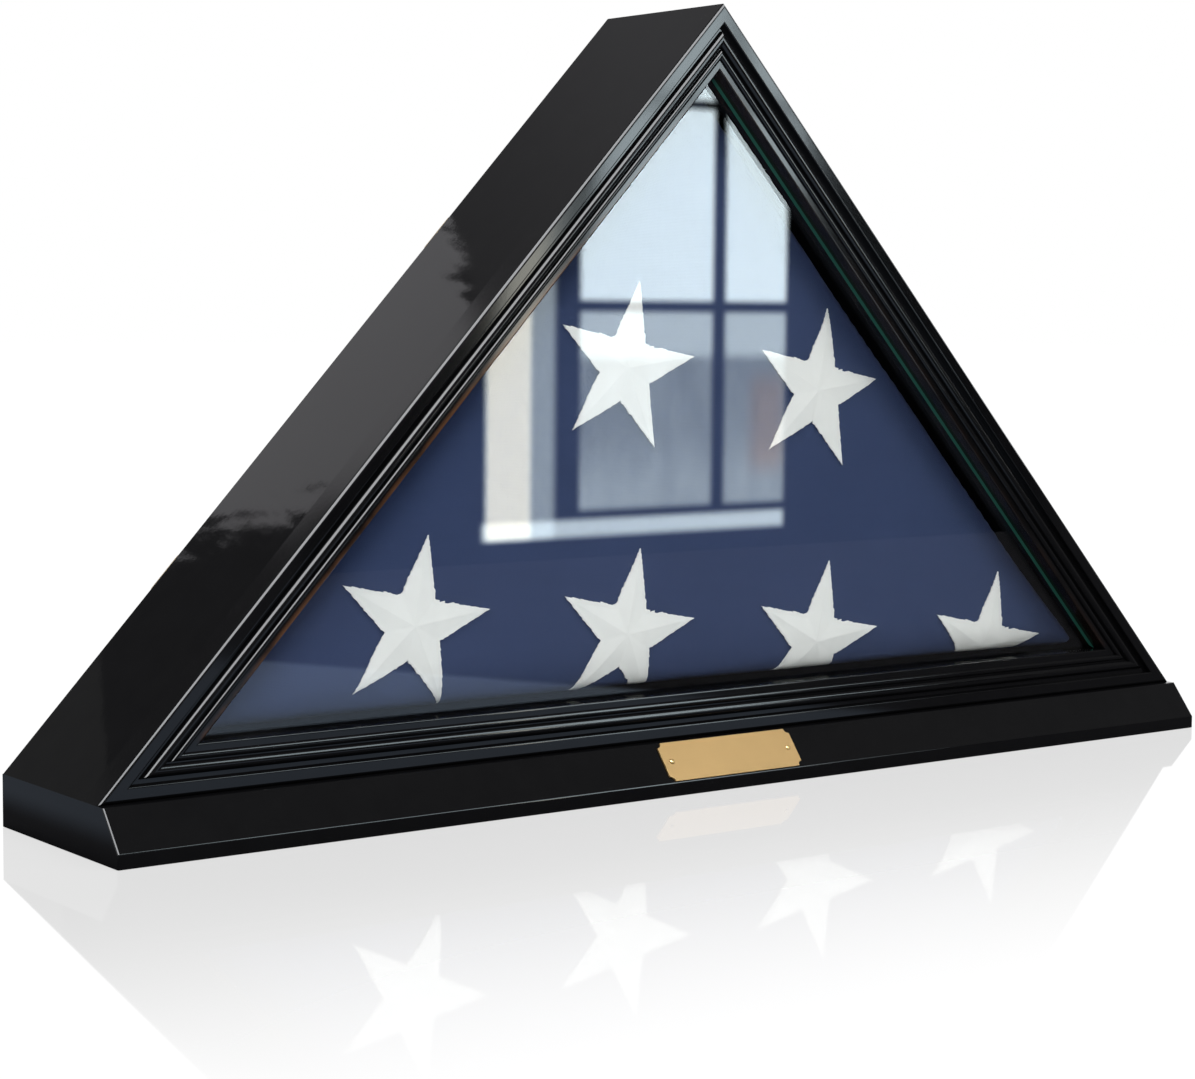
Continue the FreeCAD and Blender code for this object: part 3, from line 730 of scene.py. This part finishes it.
def cut_flag_block():
    block = triangle_block("flag_bundle", FLAG_INSET + FLAG_SWELL, FLAG_LOW.y + FLAG_SWELL,
                           FLAG_HIGH.y - FLAG_SWELL)
    pick(block, "EDGE", lambda edge: abs(edge.verts[0].co.y - edge.verts[1].co.y) > FLAG_CORNER)
    bpy.ops.mesh.bevel(offset=FLAG_CORNER, segments=4, affect="EDGES")
    pick(block, "EDGE", lambda edge: abs(edge.verts[0].co.y - edge.verts[1].co.y) < FLAG_CORNER)
    bpy.ops.mesh.bevel(offset=FLAG_ROLL, segments=3, affect="EDGES")
    done_editing()
    block.data.remesh_voxel_size = FLAG_VOXEL
    bpy.ops.object.voxel_remesh()
    return block


flag = cut_flag_block()
print("flag block:", len(flag.data.vertices), "points")

# %% Flag simulation
CLOTH_FRAMES = 20
CLOTH_PRESSURE = 4.0
CLOTH_QUALITY = 3


def blow_up(piece):
    """Stuff a closed mesh by cloth pressure, with its movement eased to a cap."""
    before = [point.co.copy() for point in piece.data.vertices]
    take(piece)
    cloth = piece.modifiers.new("stuffing", "CLOTH")
    cloth.settings.quality = CLOTH_QUALITY
    cloth.settings.use_pressure = True
    cloth.settings.uniform_pressure_force = CLOTH_PRESSURE
    cloth.settings.effector_weights.gravity = 0
    cloth.point_cache.frame_start = 1
    cloth.point_cache.frame_end = CLOTH_FRAMES
    for number in range(1, CLOTH_FRAMES + 1):
        bpy.context.scene.frame_set(number)
    bpy.ops.object.modifier_apply(modifier=cloth.name)
    bpy.context.scene.frame_set(1)
    cap = FLAG_SWELL + FLAG_CROWN
    furthest = 0
    for point, start in zip(piece.data.vertices, before):
        move = point.co - start
        furthest = max(furthest, move.length)
        if move.length > 0:
            point.co = start + move.normalized() * cap * math.tanh(move.length / cap)
    return furthest


furthest_move = blow_up(flag)
print("cloth moved up to", round(1000 * furthest_move, 1), "mm before the cap")

# %% Flag layers
LAYER_PITCH = 0.0083
LAYER_DEPTH = 0.0008
CRUMPLE = 0.0003
TUCK_STEP = 0.0011
TUCK_SOFT = 0.004


def press_into_case(place):
    """Flatten a point against the side boards, the bottom and the back."""
    place.y = min(place.y, FLAG_HIGH.y)
    place.z = max(place.z, FLAG_LOW.z)
    over = FLAG_INSET - slope_inset(place)
    if over > 0:
        place.x -= math.copysign(over * math.sin(SLOPE), place.x)
        place.z -= over * math.cos(SLOPE)


def crumple_height(place):
    """Low waves in the cloth, longer along the fold than across it."""
    along = 0.74 * place.x + 0.67 * place.z
    across = 0.67 * place.x - 0.74 * place.z
    return (noise.noise(Vector((30 * along, 11 * across, 0))) * 0.6
            + noise.noise(Vector((90 * place.x, 90 * place.z, 7))) * 0.4)


def tuck_share(place):
    """On the back of the bundle: 0 on the flap that is tucked in last, and 1 beyond its edge."""
    across = place.x * math.sin(SLOPE) - (place.z - FLAG_LOW.z) * math.cos(SLOPE)
    return min(1, max(0, 0.5 - across / TUCK_SOFT))


def shape_layers(piece):
    for point in piece.data.vertices:
        press_into_case(point.co)
    smooth = piece.modifiers.new("fine_net", "SUBSURF")
    smooth.levels = 1
    smooth.render_levels = 1
    bpy.ops.object.modifier_apply(modifier=smooth.name)
    for point in piece.data.vertices:
        way = point.normal.copy()
        edge = 1 - abs(way.y)
        layer = abs(math.sin(math.pi * (point.co.y - FLAG_LOW.y) / LAYER_PITCH))
        dent = LAYER_DEPTH * (1 - layer) ** 2 * edge
        point.co += way * (CRUMPLE * crumple_height(point.co) * abs(way.y) - dent)
        press_into_case(point.co)
        point.co.y -= TUCK_STEP * tuck_share(point.co) * max(0, way.y)
    bpy.ops.object.shade_smooth()


shape_layers(flag)
print("flag bundle:", len(flag.data.polygons), "faces, front at",
      round(1000 * min(point.co.y for point in flag.data.vertices), 1), "mm")


# %% Flag cloth
WEAVE_PITCH = 0.0007


def navy_finish():
    material, shader, place = new_finish("navy_cloth", roughness=0.85, specular_ior_level=0.2,
                                         sheen_weight=0.02)
    x, y, z = place.axes()
    weave = (x + y).wave(WEAVE_PITCH) * (z - y).wave(WEAVE_PITCH)
    slub = place.noise(260.0, detail=3.0, stretch=(0.15, 1, 1))
    fade = place.noise(14.0, detail=4.0, roughness=0.6)
    colour = (fade * 0.7 + slub * 0.3).blend((0.019, 0.032, 0.088, 1), (0.029, 0.045, 0.112, 1))
    colour = (weave * 0.15).blend(colour, (0.036, 0.053, 0.128, 1))
    feed(shader, base_color=colour, normal=(weave * 0.5 + slub).bump(0.22, 0.00025))
    return material


finish_piece(flag, "case", "navy_cloth", navy_finish(), "folded_flag")
print("flag dressed")

# %% [markdown]
# ## Sewn stars
#
# Each star is a piece of white cloth sewn down along its rim. The thread pulls the rim into a low cord
# and leaves its edge a little ragged, and the cloth between is creased from the middle to the points.
# One star is modelled: a circle of ten points with every second one drawn in, its middle raised, then
# cut into a fine net for the stitches. The others are copies, and each is laid on the flag's surface.

# %% Star
STAR_RADIUS = 0.043
STAR_WAIST = 0.382
STAR_TURN = math.radians(11.0)
STAR_THICKNESS = 0.0008
STAR_CROWN = 0.0014
STAR_CUTS = 31
RIM_WIDTH = 0.0018
RIM_HEIGHT = 0.00010
RIM_RAGGED = 0.0012


def star_edge(place):
    """For a point of the star: its distance from the rim, and its reach along the nearest arm."""
    angle = math.atan2(place.x, place.z) % math.radians(72)
    off = min(angle, math.radians(72) - angle)
    reach = math.hypot(place.x, place.z)
    lean = STAR_RADIUS * STAR_WAIST * math.sin(math.radians(36))
    run = STAR_RADIUS - STAR_RADIUS * STAR_WAIST * math.cos(math.radians(36))
    to_rim = lean * STAR_RADIUS - reach * (lean * math.cos(off) + run * math.sin(off))
    return to_rim / math.hypot(lean, run), reach * math.cos(off)


def model_star():
    bpy.ops.object.select_all(action="DESELECT")
    bpy.ops.mesh.primitive_circle_add(vertices=10, radius=STAR_RADIUS, fill_type="TRIFAN",
                                      rotation=(math.radians(90), 0, 0))
    star = settle(bpy.context.object, "star_pattern")
    tenth = math.radians(36)
    pick(star, "VERT", lambda point: point.co.length > STAR_RADIUS / 2
         and round(math.atan2(point.co.x, point.co.z) / tenth) % 2)
    bpy.ops.transform.resize(value=(STAR_WAIST,) * 3, center_override=(0, 0, 0))
    pick(star, "VERT", lambda point: point.co.length < STAR_RADIUS / 10)
    bpy.ops.transform.translate(value=(0, -STAR_CROWN, 0))
    bpy.ops.mesh.select_all(action="SELECT")
    bpy.ops.mesh.subdivide(number_cuts=STAR_CUTS)
    done_editing()
    return star


star_pattern = model_star()
print("star net:", len(star_pattern.data.polygons), "faces")


# %% Star stitching
def sew_rim(star):
    """Raise the sewn rim, fray its edge, note the run of the threads and give the cloth its thickness."""
    threads = star.data.attributes.new("thread_run", "FLOAT", "POINT")
    for point in star.data.vertices:
        distance, reach = star_edge(point.co)
        threads.data[point.index].value = reach
        near_rim = max(0, 1 - distance / RIM_WIDTH)
        cord = RIM_HEIGHT * math.sin(math.pi * min(1, near_rim * 0.8))
        crease = 0.00012 * noise.noise(point.co * 160)
        fray = RIM_RAGGED * noise.noise(point.co * 640) * near_rim ** 2
        outward = Vector((point.co.x, 0, point.co.z)).normalized()
        point.co += Vector((0, -cord - crease, 0)) + outward * fray
    thicken(star, "cloth_thickness", STAR_THICKNESS)
    star.data.transform(Matrix.Rotation(STAR_TURN, 4, "Y"))
    smooth_up_to(35)


sew_rim(star_pattern)
print("star is", round(1000 * STAR_THICKNESS, 1), "mm thick at its middle")


# %% Star cloth
def white_finish():
    material, shader, place = new_finish("white_cloth", roughness=0.75, specular_ior_level=0.3)
    run = place.node("Attribute", {"attribute_name": "thread_run"}, output=2)
    threads = run.wave(0.0005)
    soil = place.noise(55.0, detail=4.0, roughness=0.6)
    colour = soil.blend((0.79, 0.775, 0.755, 1), (0.88, 0.865, 0.845, 1))
    colour = (threads * 0.12).blend(colour, (0.70, 0.695, 0.69, 1))
    feed(shader, base_color=colour, normal=threads.bump(0.3, 0.0002))
    return material


white_cloth = white_finish()

# %% Lay the stars
STAR_START = Vector((-0.042, 0, 0.075))
STAR_PITCH = 0.125
ROW_FALL = math.radians(5.65)
ROW_RISE = 0.1305
ROW_LEAN = math.radians(1.0)
STAR_PLACES = [(-1, 0), (0, 0), (1, 0), (2, 0), (0, 1), (1, 1)]
ALONG_ROW = STAR_PITCH * Vector((math.cos(ROW_FALL), 0, -math.sin(ROW_FALL)))
UP_ROW = ROW_RISE * Vector((-math.sin(ROW_LEAN), 0, math.cos(ROW_LEAN)))
FOLD_INSET = FLAG_INSET + 0.006


def trim_at_fold(star):
    """Cut a star where the cloth folds back at the flag's edges."""
    base = Vector((0, 0, PLINTH_TOP + FOLD_INSET))
    top = Vector((0, 0, peak_height(FOLD_INSET)))
    take(star)
    for spot, outward in [(base, (0, 0, -1)), (top, (math.sin(SLOPE), 0, math.cos(SLOPE))),
                          (top, (-math.sin(SLOPE), 0, math.cos(SLOPE)))]:
        pick(star, "FACE", lambda face: True)
        bpy.ops.mesh.bisect(plane_co=spot, plane_no=outward, clear_outer=True, use_fill=True)
    done_editing()


def lay_on_flag(star, surface):
    """Move each point of a star onto the flag, keeping its own height above the cloth."""
    for point in star.data.vertices:
        start = Vector((point.co.x, FLAG_LOW.y - 0.05, point.co.z))
        hit = surface.ray_cast(start, Vector((0, 1, 0)))[0]
        point.co.y += hit.y - STAR_THICKNESS


def lay_stars():
    surface = BVHTree.FromPolygons([point.co for point in flag.data.vertices],
                                   [face.vertices for face in flag.data.polygons])
    stars = []
    for along, up in STAR_PLACES:
        place = STAR_START + along * ALONG_ROW + up * UP_ROW
        star = copied(star_pattern, f"sewn_star_{len(stars) + 1}", Matrix.Translation(place))
        trim_at_fold(star)
        lay_on_flag(star, surface)
        finish_piece(star, "case", "white_cloth", white_cloth, "flag_stars")
        stars.append(star)
    bpy.data.objects.remove(star_pattern)
    return stars


stars = lay_stars()
print("stars sewn:", len(stars))

# %% [markdown]
# ## Felt
#
# A sheet of black felt lines the inside of the back panel and presses on the flag. It is a triangle cut
# from a roll, so it starts as one face, which is cut into a net, given a felt's uneven surface and then
# its thickness.

# %% Felt
FELT_LOW, FELT_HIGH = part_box("back_felt")
FELT_INSET = FELT_LOW.z - PLINTH_TOP
FELT_CUTS = 70
FELT_UNEVEN = 0.00018


def make_felt():
    felt = triangle_face("felt_lining", FELT_INSET, FELT_LOW.y)
    pick(felt, "FACE", lambda face: True)
    bpy.ops.mesh.subdivide(number_cuts=FELT_CUTS)
    done_editing()
    for point in felt.data.vertices:
        point.co.y += FELT_UNEVEN * (1 + noise.noise(point.co * 140)) / 2
    thicken(felt, "felt_thickness", FELT_HIGH.y - FELT_LOW.y - FELT_UNEVEN)
    smooth_up_to(50)
    finish_piece(felt, "back_panel", "black_felt", black_felt, "back_felt")
    return felt


felt = make_felt()
print("felt lining:", len(felt.data.polygons), "faces")

# %% [markdown]
# ## Screws and pins
#
# The turn buttons swing on round-head wood screws with a slot, the plinth is held by countersunk ones
# that show underneath, and two dome-head pins hold the name plate. Each is modelled once, standing on
# the origin with its head up, and copied to its places. A box cut out of the head by a Boolean modifier
# makes the slot, because the two then meet cleanly on a curved head.


# %% Slot cutter
def cut_slot(piece, width, length, depth, turn=0.0):
    """Cut a straight slot into a head whose top is at the origin."""
    bpy.ops.object.select_all(action="DESELECT")
    bpy.ops.mesh.primitive_cube_add(size=1, location=(0, 0, 0), rotation=(0, 0, turn))
    cutter = bpy.context.object
    cutter.scale = (length, width, 2 * depth)
    take(piece)
    slot = piece.modifiers.new("slot", "BOOLEAN")
    slot.operation = "DIFFERENCE"
    slot.object = cutter
    bpy.ops.object.modifier_apply(modifier=slot.name)
    bpy.data.objects.remove(cutter)


# %% Turn button screws
PIVOT_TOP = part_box("turn_button_screws")[1].y
PIVOT_HEAD_RADIUS = 0.0032
PIVOT_HEAD_HEIGHT = 0.0019
PIVOT_SHANK_RADIUS = 0.0015
PIVOT_DOME = 0.0015
PIVOT_SLOT = (0.0009, 0.010, 0.0010)
PIVOT_LENGTH = PIVOT_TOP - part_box("turn_button_screws")[0].y


def model_round_head():
    bpy.ops.object.select_all(action="DESELECT")
    bpy.ops.mesh.primitive_cylinder_add(vertices=40, radius=PIVOT_HEAD_RADIUS, depth=PIVOT_HEAD_HEIGHT,
                                        location=(0, 0, -PIVOT_HEAD_HEIGHT / 2))
    screw = settle(bpy.context.object, "round_head_pattern")
    pick(screw, "EDGE", lambda edge: min(point.co.z for point in edge.verts) > -1e-6)
    bpy.ops.mesh.bevel(offset=PIVOT_DOME, segments=6, profile=0.55, affect="EDGES")
    pick(screw, "FACE", lambda face: face.normal.z < -0.9)
    bpy.ops.mesh.inset(thickness=PIVOT_HEAD_RADIUS - PIVOT_SHANK_RADIUS)
    push((0, 0, PIVOT_HEAD_HEIGHT - PIVOT_LENGTH))
    done_editing()
    cut_slot(screw, *PIVOT_SLOT)
    smooth_up_to(35)
    return screw


def set_turn_button_screws():
    pattern = model_round_head()
    hinges = [joint for joint in frame["joints"] if joint["type"] == "hinge"]
    for index, joint in enumerate(hinges):
        x, _, z = joint["pos_m"]
        place = (Matrix.Translation((x, PIVOT_TOP, z)) @ Matrix.Rotation(math.radians(-90), 4, "X")
                 @ Matrix.Rotation(math.radians(25 + 47 * index), 4, "Z"))
        screw = copied(pattern, f"turn_button_screw_{index + 1}", place)
        finish_piece(screw, "case", "steel_screws", zinc_steel, "turn_button_screws")
    bpy.data.objects.remove(pattern)
    return len(hinges)


print("turn button screws:", set_turn_button_screws())

# %% Base screws
BASE_LOW, BASE_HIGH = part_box("base_screws")
BASE_HEAD_RADIUS = 0.004
BASE_SHANK_RADIUS = 0.002
BASE_LENGTH = BASE_HIGH.z - BASE_LOW.z
BASE_TIP = 0.006
CROSS_SLOT = (0.0010, 0.0046, 0.0014)


def model_flat_head():
    head_height = BASE_HEAD_RADIUS - BASE_SHANK_RADIUS
    bpy.ops.object.select_all(action="DESELECT")
    bpy.ops.mesh.primitive_cylinder_add(vertices=32, radius=BASE_HEAD_RADIUS, depth=head_height,
                                        location=(0, 0, -head_height / 2))
    screw = settle(bpy.context.object, "flat_head_pattern")
    pick(screw, "FACE", lambda face: face.normal.z < -0.9)
    share = BASE_SHANK_RADIUS / BASE_HEAD_RADIUS
    bpy.ops.transform.resize(value=(share, share, 1), center_override=(0, 0, -head_height))
    push((0, 0, head_height + BASE_TIP - BASE_LENGTH))
    push((0, 0, -BASE_TIP))
    bpy.ops.transform.resize(value=(0.12, 0.12, 1), center_override=(0, 0, -BASE_LENGTH))
    done_editing()
    for turn in (0.0, math.radians(90)):
        cut_slot(screw, *CROSS_SLOT, turn)
    smooth_up_to(35)
    return screw


def set_base_screws():
    pattern = model_flat_head()
    places = [(x, y) for x in (BASE_LOW.x + BASE_HEAD_RADIUS, BASE_HIGH.x - BASE_HEAD_RADIUS)
              for y in (BASE_LOW.y + BASE_HEAD_RADIUS, BASE_HIGH.y - BASE_HEAD_RADIUS)]
    for index, (x, y) in enumerate(places):
        place = (Matrix.Translation((x, y, BASE_LOW.z)) @ Matrix.Rotation(math.radians(180), 4, "X")
                 @ Matrix.Rotation(math.radians(10 + 33 * index), 4, "Z"))
        screw = copied(pattern, f"base_screw_{index + 1}", place)
        finish_piece(screw, "case", "steel_screws", zinc_steel, "base_screws")
    bpy.data.objects.remove(pattern)
    return len(places)


print("base screws:", set_base_screws())

# %% Name plate pins
LIP_HEIGHT = 0.0065
CANT_SETBACK = 0.014
CANT_NORMAL = Vector((0, LIP_HEIGHT - PLINTH_TOP, CANT_SETBACK)).normalized()
PLATE_LOW, PLATE_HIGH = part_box("name_plate")
PLATE_MIDDLE = (PLATE_LOW + PLATE_HIGH) / 2
PLATE_THICKNESS = 0.0008
PIN_INSET = 0.005
PIN_HEAD_RADIUS = 0.0013
PIN_HEAD_HEIGHT = 0.0008
PIN_SHANK_RADIUS = 0.0006
PIN_LENGTH = 0.0085


def model_pin():
    bpy.ops.object.select_all(action="DESELECT")
    bpy.ops.mesh.primitive_uv_sphere_add(segments=28, ring_count=16, radius=PIN_HEAD_RADIUS)
    pin = settle(bpy.context.object, "pin_pattern")
    pick(pin, "FACE", lambda face: True)
    bpy.ops.mesh.bisect(plane_co=(0, 0, 0), plane_no=(0, 0, -1), clear_outer=True, use_fill=True)
    bpy.ops.mesh.select_all(action="SELECT")
    bpy.ops.transform.resize(value=(1, 1, PIN_HEAD_HEIGHT / PIN_HEAD_RADIUS), center_override=(0, 0, 0))
    pick(pin, "FACE", lambda face: face.normal.z < -0.9)
    bpy.ops.mesh.inset(thickness=PIN_HEAD_RADIUS - PIN_SHANK_RADIUS)
    push((0, 0, -PIN_LENGTH))
    done_editing()
    smooth_up_to(40)
    return pin


def set_pins():
    pattern = model_pin()
    upright = Vector((0, 0, 1)).rotation_difference(CANT_NORMAL).to_matrix().to_4x4()
    for index, x in enumerate((PLATE_LOW.x + PIN_INSET, PLATE_HIGH.x - PIN_INSET)):
        seat = Vector((x, PLATE_MIDDLE.y, PLATE_MIDDLE.z)) + CANT_NORMAL * PLATE_THICKNESS / 2
        pin = copied(pattern, f"plate_pin_{index + 1}", Matrix.Translation(seat) @ upright)
        finish_piece(pin, "case", "brass_plate", hardware_brass, "name_plate_pins")
    bpy.data.objects.remove(pattern)


set_pins()
print("plate pins set")
